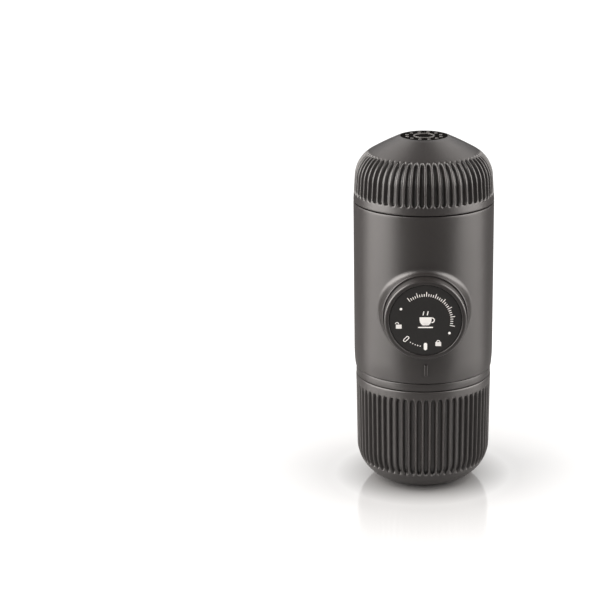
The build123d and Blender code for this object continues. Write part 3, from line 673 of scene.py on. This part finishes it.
# Body shell: a tube whose front flows into the knob's boss
class ShellForm:
    """Places on the body shell, worked out from its sizes."""

    columns = 96
    rows = 72
    back_columns = 110
    spread = math.radians(80)

    def __init__(self, sizes):
        low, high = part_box("body_shell")
        self.sizes = sizes
        self.bottom = low[2]
        self.top = high[2] - sizes.seam_gap
        knob_low, knob_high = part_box("pump_knob")
        self.pump_z = (knob_low[2] + knob_high[2]) / 2
        self.bore = (knob_high[2] - knob_low[2]) / 2 + sizes.knob_gap
        self.front = low[1]
        self.inner = sizes.body_radius - sizes.shell_wall
        self.round = sizes.edge_round
        self.heights = spaced(self.bottom + self.round, self.top - self.round, self.rows)
        self.front_turns = spaced(-self.spread, self.spread, self.columns)
        self.back_turns = spaced(self.spread, math.tau - self.spread, self.back_columns)

    def radius(self, height, inner=False):
        """Radius of a skin at a height; the outer one eases in on a large arc above the collar."""
        if inner:
            return self.inner
        ease_top = self.bottom + self.sizes.foot_ease
        if height >= ease_top:
            return self.sizes.body_radius
        draw_in = self.sizes.body_radius - self.sizes.foot_radius
        ease_radius = (self.sizes.foot_ease**2 + draw_in**2) / (2 * draw_in)
        return self.sizes.body_radius - ease_radius + math.sqrt(ease_radius**2 - (ease_top - height) ** 2)

    def on_skin(self, turn, height, inner):
        """A point of the outer or inner skin; turn 0 is the front."""
        radius = self.radius(height, inner)
        return Vector((radius * math.sin(turn), -radius * math.cos(turn), height))

    def border(self):
        """(turn, height) round the edge of the front panel, once round."""
        heights, turns = self.heights, self.front_turns
        up = [(turns[-1], z) for z in heights[:-1]]
        back = [(a, heights[-1]) for a in reversed(turns[1:])]
        down = [(turns[0], z) for z in reversed(heights[1:])]
        return up + back + down + [(a, heights[0]) for a in turns[:-1]]

    def around_pump(self, reach, angle, inner=False):
        """(turn, height) of the point of a skin at a distance from the pump's axis, seen along it."""
        height = self.pump_z + reach * math.sin(angle)
        return math.asin(reach * math.cos(angle) / self.radius(height, inner)), height

    def front_panel(self, inner):
        """Rows of the front panel, from the knob's bore out to the border."""
        border = self.border()
        scale = self.sizes.body_radius
        angles = [math.atan2(z - self.pump_z, a * scale) for a, z in border]
        rows = [] if inner else self.boss_rows(angles)
        first = self.bore if inner else self.sizes.boss_radius + self.sizes.boss_fillet
        count = 8 if inner else 26
        for i in range(count + 1):
            share = i / count
            row = []
            for angle, (edge_turn, edge_height) in zip(angles, border):
                turn, height = self.around_pump(first, angle, inner)
                place = (turn + (edge_turn - turn) * share, height + (edge_height - height) * share)
                row.append(self.on_skin(*place, inner))
            rows.append(row)
        return rows

    def boss_rows(self, angles):
        """Rows of the boss: bore edge, rim round and the hollow sweep down into the shell."""
        boss = self.sizes.boss_radius
        reach = boss + self.sizes.boss_fillet
        edge, rim_reach, rim_drop, sweep_rows = 0.08 * MM, 0.5 * MM, 0.4 * MM, 22
        profile = [
            (self.bore + edge * (1 - math.cos(a)), self.front + edge * (1 - math.sin(a))) for a in quarter(3)
        ]
        profile += [
            (boss - rim_reach + rim_reach * math.sin(a), self.front + rim_drop * (1 - math.cos(a)))
            for a in quarter(8)
        ]
        rows = [[self.off_pump(place, depth, angle) for angle in angles] for place, depth in profile]
        top = self.front + rim_drop
        for i in range(1, sweep_rows):
            t = i / sweep_rows
            row = []
            for angle in angles:
                start = self.off_pump(boss, top, angle)
                foot = self.on_skin(*self.around_pump(boss, angle), False)
                far = self.on_skin(*self.around_pump(reach, angle), False)
                row.append(start * (1 - t) ** 2 + foot * 2 * t * (1 - t) + far * t * t)
            rows.append(row)
        return rows

    def off_pump(self, reach, depth, angle):
        """A point at a distance and angle from the pump's axis, at a depth along Y."""
        return Vector((reach * math.cos(angle), depth, self.pump_z + reach * math.sin(angle)))

    def lip_rows(self, turns, upper):
        """Rows over the top or bottom edge, from the outer to the inner skin."""
        r = self.round
        edge = self.top if upper else self.bottom
        inward = -1 if upper else 1
        outer = self.radius(edge + inward * r)
        middle = edge + inward * r
        profile = [(outer - r + r * math.cos(a), middle - inward * r * math.sin(a)) for a in quarter(4)]
        profile += [(self.inner + r - r * math.sin(a), middle - inward * r * math.cos(a)) for a in quarter(4)]
        return [[Vector((rad * math.sin(a), -rad * math.cos(a), z)) for a in turns] for rad, z in profile]

    def bore_rows(self):
        """Rows along the knob's bore, from the boss's front back to the inner skin."""
        outer = self.front_panel(False)[0]
        inner = self.front_panel(True)[0]
        return [[a.lerp(b, i / 6) for a, b in zip(outer, inner)] for i in range(7)]


def weave(name, panels):
    """A mesh from grid primitives whose rows are laid on worked-out places, merged along their borders."""
    parts = []
    for rows, closed in panels:
        rows = [row + row[:1] for row in rows] if closed else rows
        deselect_all()
        columns = len(rows[0]) - 1
        bpy.ops.mesh.primitive_grid_add(x_subdivisions=columns, y_subdivisions=len(rows) - 1, size=1)
        parts.append(bpy.context.object)
        places = [place for row in rows for place in row]
        for vertex, place in zip(parts[-1].data.vertices, places):
            vertex.co = place
    piece = join_pieces(name, parts)
    close_mesh(50)
    return piece


class MAKER_OT_body_shell(Undoable, bpy.types.Operator):
    """Lay the body shell's skins, its boss for the knob and its two lips"""

    bl_idname = "maker.body_shell"
    bl_label = "Body shell"

    def execute(self, context):
        form = ShellForm(context.scene.maker_sizes)
        panels = [(form.front_panel(False), True), (form.front_panel(True), True), (form.bore_rows(), True)]
        for inner in (False, True):
            rows = [[form.on_skin(turn, z, inner) for turn in form.back_turns] for z in form.heights]
            panels.append((rows, False))
        round_turns = form.front_turns + form.back_turns[1:]
        for upper in (False, True):
            panels.append((form.lip_rows(round_turns, upper), False))
        shell = weave("outer_shell", panels)
        finish(shell, materials["shell"], "body", "shell_grey", "body_shell")
        self.add_mark(form)
        return {"FINISHED"}

    def add_mark(self, form):
        """The small raised bar that the knob's print points to."""
        low, high = form.bottom + 3.9 * MM, form.bottom + 9.0 * MM
        width, depth, aside = 1.5 * MM, 1.3 * MM, 0.5 * MM
        deselect_all()
        bpy.ops.mesh.primitive_cube_add(
            size=1, location=(aside, -form.sizes.body_radius, (low + high) / 2),
            scale=(width, depth, high - low),
        )
        mark = named("alignment_mark")
        settle()
        edit_all()
        bpy.ops.mesh.bevel(offset=0.32 * MM, segments=4)
        end_edit(60)
        finish(mark, materials["shell"], "body", "shell_grey")


# Pump knob, its face and its print
def knob_centre():
    """The point of the pump's axis level with the maker's upright axis."""
    low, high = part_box("pump_knob")
    return Vector((0, 0, (low[2] + high[2]) / 2))


def along_pump(radius, out):
    """A point of an outline that spins about the pump's axis; out is the distance towards the knob."""
    return Vector((radius, -out, knob_centre().z))


class MAKER_OT_pump_knob(Undoable, bpy.types.Operator):
    """Turn the grey pump knob: ring, skirt and web"""

    bl_idname = "maker.pump_knob"
    bl_label = "Pump knob"

    def execute(self, context):
        low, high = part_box("pump_knob")
        radius = (high[2] - low[2]) / 2
        front, back = -low[1], -high[1]
        bore = radius - 1.95 * MM
        face_back = -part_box("knob_face")[1][1]
        ease_reach, ease_drop = 1.2 * MM, 0.8 * MM
        back_edge, inner_round = 0.3 * MM, 0.35 * MM
        rebate = bore - 1.3 * MM
        web_front = face_back - 1.4 * MM
        web_back = web_front - 2.4 * MM
        hole = 3.05 * MM
        outline = joined(
            [(hole, web_back), (bore, web_back), (bore, back), (radius - back_edge, back)],
            [(radius, back + back_edge)],
            [
                (radius - ease_reach * (1 - math.cos(a)), front - ease_drop * (1 - math.sin(a)))
                for a in quarter(10)
            ],
            arc((bore + inner_round, front - inner_round), inner_round, 90, 180, 6),
            [(bore, face_back), (rebate, face_back), (rebate, web_front)],
            [(hole, web_front), (hole, web_back)],
        )
        knob = lathe("knob_ring", outline, 288, place=along_pump, centre=knob_centre(), axis="Y")
        finish(knob, materials["knob"], "knob", "shell_grey", "pump_knob")
        return {"FINISHED"}


class MAKER_OT_knob_face(Undoable, bpy.types.Operator):
    """Turn the grained black disc in the knob"""

    bl_idname = "maker.knob_face"
    bl_label = "Knob face"

    def execute(self, context):
        low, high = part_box("knob_face")
        radius = (high[2] - low[2]) / 2
        front, back = -low[1], -high[1]
        r = 0.25 * MM
        outline = joined(
            [(0.0, back), (radius, back)],
            arc((radius - r, front - r), r, 0, 90, 4),
            [(radius * 0.6, front), (radius * 0.3, front), (0.0, front)],
        )
        face = lathe("face_disc", outline, 192, place=along_pump, centre=knob_centre(), axis="Y")
        finish(face, materials["face"], "knob", "face_black", "knob_face")
        return {"FINISHED"}


class PrintShop:
    """Lays flat white marks on the knob's face; clock angles run clockwise from the top, in degrees."""

    def __init__(self, sizes):
        self.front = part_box("knob_face")[0][1]
        self.centre = knob_centre()
        self.height = sizes.print_height
        self.marks = []

    def place(self, clock, reach):
        return step((0, 0), reach, 90 - clock)

    def disc(self, x, z, radius, sides=28):
        """A round dot, left in edit mode with all of it selected."""
        deselect_all()
        bpy.ops.mesh.primitive_circle_add(
            vertices=sides, radius=radius, fill_type="NGON",
            location=(x, self.front, self.centre.z + z), rotation=(math.pi / 2, 0, 0),
        )
        settle()
        edit_all()
        bpy.ops.mesh.select_mode(type="VERT")

    def hollow(self, line):
        """Keeps only a line of the given width along the mark's edge."""
        bpy.ops.mesh.select_mode(type="FACE")
        bpy.ops.mesh.select_all(action="SELECT")
        bpy.ops.mesh.inset(thickness=line)
        bpy.ops.mesh.delete(type="FACE")

    def raise_print(self, name):
        """Gives the mark its thickness and keeps it."""
        edit_all()
        bpy.ops.mesh.extrude_region_move(TRANSFORM_OT_translate={"value": (0, -self.height, 0)})
        edit_all()
        bpy.ops.mesh.normals_make_consistent(inside=False)
        bpy.ops.object.mode_set(mode="OBJECT")
        self.marks.append(named(name))

    def dot(self, name, x, z, radius):
        self.disc(x, z, radius)
        self.raise_print(name)

    def pill(self, name, x, z, width, length, clock, line=None):
        """A bar with round ends along a clock direction: a dot whose halves are moved apart."""
        self.disc(x, z, width / 2)
        direction = Vector((math.sin(math.radians(clock)), 0, math.cos(math.radians(clock))))
        centre = Vector((x, self.front, self.centre.z + z))
        shift = direction * (length - width) / 2
        bpy.ops.object.mode_set(mode="OBJECT")
        for vertex in bpy.context.object.data.vertices:
            vertex.co += shift if (vertex.co - centre).dot(direction) > 0 else -shift
        edit_all()
        if line:
            self.hollow(line)
        self.raise_print(name)

    def bow(self, name, x, z, radius, line, first, last):
        """Part of a ring between two clock angles, as on a padlock."""
        self.disc(x, z, radius, sides=48)
        self.hollow(line)
        bpy.ops.object.mode_set(mode="OBJECT")
        middle = Vector((x, 0, self.centre.z + z))
        for face in bpy.context.object.data.polygons:
            off = face.center - middle
            clock = math.degrees(math.atan2(off.x, off.z)) % 360
            face.select = not (clock - first) % 360 <= (last - first) % 360
        bpy.ops.object.mode_set(mode="EDIT")
        bpy.ops.mesh.delete(type="FACE")
        self.raise_print(name)


class MAKER_OT_knob_print(Undoable, bpy.types.Operator):
    """Print the knob's marks: pills for its two ends, travel dots, padlocks, a scale and a cup sign"""

    bl_idname = "maker.knob_print"
    bl_label = "Knob print"

    def execute(self, context):
        shop = PrintShop(context.scene.maker_sizes)
        circle = 11.7 * MM
        shop.pill("locked_pill", *shop.place(180, circle), 1.5 * MM, 3.3 * MM, 180)
        shop.pill("unlocked_pill", *shop.place(225, circle), 1.5 * MM, 3.1 * MM, 225, line=0.32 * MM)
        for i in range(5):
            clock = 191 + i * 5.6
            shop.dot(f"travel_dot_{i + 1}", *shop.place(clock, circle), 0.24 * MM)
        shop.dot("upper_dot", *shop.place(296, circle), 0.55 * MM)
        shop.dot("lower_dot", *shop.place(119, circle), 0.55 * MM)
        self.padlock(shop, "closed_lock", shop.place(152, circle), 0.0)
        self.padlock(shop, "open_lock", shop.place(258, circle), 0.75 * MM)
        self.scale(shop, circle)
        self.cup_sign(shop)
        finish(join_pieces("knob_print", shop.marks), materials["print"], "knob", None)
        return {"FINISHED"}

    def padlock(self, shop, name, place, lift):
        """A padlock sign: a body and a bow, the bow lifted and swung aside when it is open."""
        x, z = place
        for i in range(4):
            shop.pill(f"{name}_body_{i}", x, z - 0.9 * MM + i * 0.42 * MM, 0.52 * MM, 2.5 * MM, 90)
        shop.bow(f"{name}_bow", x - lift, z + 0.62 * MM + lift * 0.3, 0.86 * MM, 0.3 * MM, 270, 90)

    def scale(self, shop, circle):
        """A plain scale of ticks from the upper left round to the right, every fourth one longer."""
        for i in range(29):
            clock = -38 + i * 5.0
            length, drop = (1.2 * MM, 0.45 * MM) if i % 4 else (2.1 * MM, 0)
            shop.pill(f"tick_{i:02d}", *shop.place(clock, circle - drop), 0.30 * MM, length, clock)

    def cup_sign(self, shop):
        """A plain cup with two wisps of steam."""
        bars = ((1.1, 5.2), (0.5, 5.2), (-0.1, 5.1), (-0.7, 4.8), (-1.3, 4.2), (-1.8, 3.2))
        for i, (z, length) in enumerate(bars):
            shop.pill(f"sign_cup_{i}", 0, z * MM, 0.66 * MM, length * MM, 90)
        shop.bow("sign_handle", 2.7 * MM, 0.1 * MM, 1.25 * MM, 0.42 * MM, 350, 190)
        shop.pill("sign_saucer", 0, -3.1 * MM, 0.5 * MM, 6.4 * MM, 90)
        for i, x in enumerate((-0.9, 0.9)):
            shop.pill(f"sign_steam_{i}", x * MM, 3.2 * MM, 0.42 * MM, 1.9 * MM, 12)


# Springs, and finishes of the inner pieces
def wind_spring(name, node, axis, wire, turns):
    """Winds a round-wire spring in a node's box along Y or Z."""
    low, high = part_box(node)
    centre = [(a + b) / 2 for a, b in zip(low, high)]
    along = "XYZ".index(axis)
    start, end = (low[2], high[2]) if axis == "Z" else (high[1], low[1])
    away = math.copysign(1, end - start)
    deselect_all()
    bpy.ops.mesh.primitive_circle_add(
        vertices=12, radius=wire, location=((high[0] - low[0]) / 2 - wire, 0, 0),
        rotation=(math.pi / 2 if axis == "Z" else 0, 0, 0),
    )
    spring = named(name)
    settle()
    coil = spring.modifiers.new("Coil", "SCREW")
    coil.axis = axis
    coil.angle = math.tau * turns
    coil.screw_offset = end - start - 2 * wire * away
    coil.steps = coil.render_steps = 48 * turns
    bpy.ops.object.modifier_apply(modifier=coil.name)
    fixed_end, moving_end = list(centre), list(centre)
    fixed_end[along], moving_end[along] = start, end
    place = list(centre)
    place[along] = start + wire * away
    edit_all()
    bpy.ops.transform.translate(value=place)
    bpy.ops.mesh.normals_make_consistent(inside=False)
    bpy.ops.mesh.select_all(action="DESELECT")
    bpy.ops.mesh.select_non_manifold()
    bpy.ops.mesh.fill_holes(sides=0)
    end_edit(50)
    spring.data.materials.append(materials["wire"])
    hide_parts(node)
    tuple(fixed_end)
    tuple(moving_end)
    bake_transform(spring)


class MAKER_OT_springs(Undoable, bpy.types.Operator):
    """Wind the plunger's return spring and the valve springs"""

    bl_idname = "maker.springs"
    bl_label = "Springs"

    def execute(self, context):
        wind_spring("pump_spring", "return_spring", "Y", 0.6 * MM, 7)
        for valve, fixed in (("inlet", "body"), ("outlet", "body"), ("crema", "head")):
            wind_spring(f"{valve}_spring", f"{valve}_valve_spring", "Z", 0.25 * MM, 4)
        return {"FINISHED"}


INNER_FINISHES = {
    "black": (
        "pump_core", "head_socket", "lock_ring", "plunger", "outlet_head", "spout_cap", "inlet_valve_cage",
        "outlet_valve_cage", "crema_valve_cage",
    ),
    "steel": ("cylinder_liner", "filter_basket", "inlet_valve_ball", "outlet_valve_ball", "crema_valve_ball"),
    "brass": ("end_plug",),
    "rubber": (
        "end_plug_seal", "rod_seal", "vent_valve", "head_gasket", "plunger_seals", "tank_gasket", "cup_seal",
    ),
    "screen": ("shower_screen",),
    "screw": ("shower_screw", "core_screws", "knob_screw"),
}


class MAKER_OT_inner_finishes(Undoable, bpy.types.Operator):
    """Give the pump, head, valves, seals and screws their plastics, metals and silicone"""

    bl_idname = "maker.inner_finishes"
    bl_label = "Inner finishes"

    def execute(self, context):
        for name, nodes in INNER_FINISHES.items():
            for node in nodes:
                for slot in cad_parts[node].material_slots:
                    slot.material = materials[name]
        return {"FINISHED"}


# Studio: floor, lamps, world and camera
CAMERA_DISTANCE = 818.06 * MM
CAMERA_HEIGHT = 330.52 * MM
CAMERA_DOWN = 16.892
CAMERA_TURN = -1.35
CAMERA_ROLL = 0.199
CAMERA_FOCAL_PIXELS = 1911.0
FRAME_PIXELS = 600.0
SENSOR = 36.0
AXIS_COLUMN = 423.44
CENTRE_ROW = 300.5
LAMP_AIM = Vector((0, 0, 0.085))
LAMP_TINT = (1.0, 0.955, 0.92)
LAMPS = {
    "left_softbox": ((-0.75, -0.17, 0.42), (1.20, 1.08), 24.0),
    "right_softbox": ((0.75, -0.12, 0.42), (1.14, 1.08), 17.6),
    "left_top_light": ((-0.46, 0.54, 0.82), (0.70, 0.70), 1.7),
    "right_top_light": ((0.46, 0.54, 0.82), (0.70, 0.70), 1.75),
}
WORLD_LIGHT = 0.15
WHITE = (1, 1, 1, 1)


class MAKER_OT_stage(Undoable, bpy.types.Operator):
    """Lay the pale floor and set the backdrop, the soft lamps, the world and the camera"""

    bl_idname = "maker.stage"
    bl_label = "Stage"

    def execute(self, context):
        scene = context.scene
        scene.view_settings.view_transform = "Standard"
        self.floor(scene.maker_colours)
        self.backdrop()
        self.world(scene)
        for name, values in LAMPS.items():
            self.lamp(name, *values)
        self.camera(scene)
        return {"FINISHED"}

    def plane(self, name, size, place, standing):
        """A flat stage plane, lying or standing across the view."""
        deselect_all()
        tilt = math.pi / 2 if standing else 0
        bpy.ops.mesh.primitive_plane_add(size=size, location=place, rotation=(tilt, 0, 0))
        sheet = named(name)
        settle()
        return sheet

    def floor(self, colours):
        """A pale glossy floor that glows plain white to the camera away from the maker, with painted contact
        shade close to it.
        """
        floor = self.plane("studio_floor", 9.0, (0, 2.0, 0), False)
        material, tree, shader = new_material("glossy_floor")
        where = object_place(tree)
        away = tree.nodes.new("ShaderNodeVectorMath")
        away.operation = "LENGTH"
        tree.links.new(where, away.inputs[0])
        distance = away.outputs["Value"]
        # Painted shade and light: the glow to the camera is nil within 22 mm of the maker's axis and grows
        # out to 0.16 m, leaving a darker ring round the maker's foot and painting over the lamps' shadows
        # further out.
        near = map_range(tree, distance, 0.022, 0.040, 0.0, 0.38)
        far = map_range(tree, distance, 0.045, 0.16, 0.0, 0.65)
        white = math_node(tree, "ADD", near, far)
        fill(tree, shader, {
            # Painted light and shade in the floor's own colour: paler within 0.12 m of the maker, a painted
            # pool of light that the cup reflects, and half as pale past 0.35 m, painted shade that the
            # maker's front reflects.
            "Base Color": scaled_colour(tree, colours.floor, map_range(tree, distance, 0.12, 0.35, 1.0, 0.5)),
            "Roughness": map_range(tree, noise(tree, where, 30.0), 0.3, 0.7, 0.09, 0.12),
            "IOR": 2.0,
            "Emission Color": WHITE,
            "Emission Strength": math_node(tree, "MULTIPLY", white, rays(tree)["Is Camera Ray"]),
        })
        floor.data.materials.append(material)

    def backdrop(self):
        """A white wall that only the camera and glossy surfaces see."""
        wall = self.plane("backdrop", 1.2, (0, 1.6, 1.18), True)
        material, tree, shader = new_material("backdrop_white")
        ray = rays(tree)
        fill(tree, shader, {
            "Base Color": (0, 0, 0, 1),
            "Specular IOR Level": 0.0,
            "Emission Color": WHITE,
            "Emission Strength": math_node(tree, "MAXIMUM", ray["Is Camera Ray"], ray["Is Glossy Ray"]),
        })
        wall.data.materials.append(material)

    def world(self, scene):
        """White to the camera, and a low even light on everything else."""
        world = bpy.data.worlds.new("studio")
        world.use_nodes = True
        tree = world.node_tree
        strength = map_range(tree, rays(tree)["Is Camera Ray"], 0.0, 1.0, WORLD_LIGHT, 1.0)
        fill(tree, tree.nodes["Background"], {"Strength": strength, "Color": WHITE})
        scene.world = world

    def lamp(self, name, place, size, power):
        """An elliptical soft lamp that looks at the maker's middle."""
        deselect_all()
        bpy.ops.object.light_add(type="AREA", location=place)
        lamp = named(name)
        lamp.data.shape = "ELLIPSE"
        lamp.data.size, lamp.data.size_y = size
        lamp.data.energy = power
        lamp.data.color = LAMP_TINT
        lamp.rotation_euler = (LAMP_AIM - Vector(place)).to_track_quat("-Z", "Y").to_euler()

    def camera(self, scene):
        turn = math.radians(CAMERA_TURN)
        deselect_all()
        bpy.ops.object.camera_add(
            location=(CAMERA_DISTANCE * math.sin(turn), -CAMERA_DISTANCE * math.cos(turn), CAMERA_HEIGHT)
        )
        camera = named("studio_camera")
        level = Euler((math.radians(90 - CAMERA_DOWN), 0, turn)).to_matrix()
        camera.rotation_euler = (level @ Matrix.Rotation(math.radians(CAMERA_ROLL), 3, "Z")).to_euler()
        camera.data.sensor_width = SENSOR
        camera.data.lens = SENSOR * CAMERA_FOCAL_PIXELS / FRAME_PIXELS
        camera.data.shift_x = (FRAME_PIXELS / 2 - AXIS_COLUMN) / FRAME_PIXELS
        camera.data.shift_y = (CENTRE_ROW - FRAME_PIXELS / 2) / FRAME_PIXELS
        camera.data.clip_start = 0.01
        scene.camera = camera


# Panel and registration
OPERATORS = (
    MAKER_OT_stage,
    MAKER_OT_water_tank,
    MAKER_OT_tip_pad,
    MAKER_OT_body_shell,
    MAKER_OT_collar_ring,
    MAKER_OT_cup,
    MAKER_OT_pump_knob,
    MAKER_OT_knob_face,
    MAKER_OT_knob_print,
    MAKER_OT_springs,
    MAKER_OT_inner_finishes,
)


class MAKER_PT_panel(bpy.types.Panel):
    """Lists the maker's pieces and sizes"""

    bl_label = "Espresso maker"
    bl_space_type = "VIEW_3D"
    bl_region_type = "UI"
    bl_category = "Espresso"

    def draw(self, context):
        for group in (context.scene.maker_sizes, context.scene.maker_colours):
            for name in group.bl_rna.properties.keys():
                if name not in ("rna_type", "name"):
                    self.layout.prop(group, name)
        for operator in OPERATORS:
            self.layout.operator(operator.bl_idname)


CLASSES = (MakerSizes, MakerColours, *OPERATORS, MAKER_PT_panel)
materials = {}


def register():
    for item in CLASSES:
        bpy.utils.register_class(item)
    bpy.types.Scene.maker_sizes = PointerProperty(type=MakerSizes)
    bpy.types.Scene.maker_colours = PointerProperty(type=MakerColours)


def unregister():
    del bpy.types.Scene.maker_colours
    del bpy.types.Scene.maker_sizes
    for item in reversed(CLASSES):
        bpy.utils.unregister_class(item)


def main():
    """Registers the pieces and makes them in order."""
    register()
    materials.update(build_materials(bpy.context.scene.maker_colours))
    bpy.ops.maker.stage()
    bpy.ops.maker.water_tank()
    bpy.ops.maker.tip_pad()
    bpy.ops.maker.body_shell()
    bpy.ops.maker.collar_ring()
    bpy.ops.maker.cup()
    bpy.ops.maker.pump_knob()
    bpy.ops.maker.knob_face()
    bpy.ops.maker.knob_print()
    bpy.ops.maker.springs()
    bpy.ops.maker.inner_finishes()


if __name__ == "__main__":
    main()
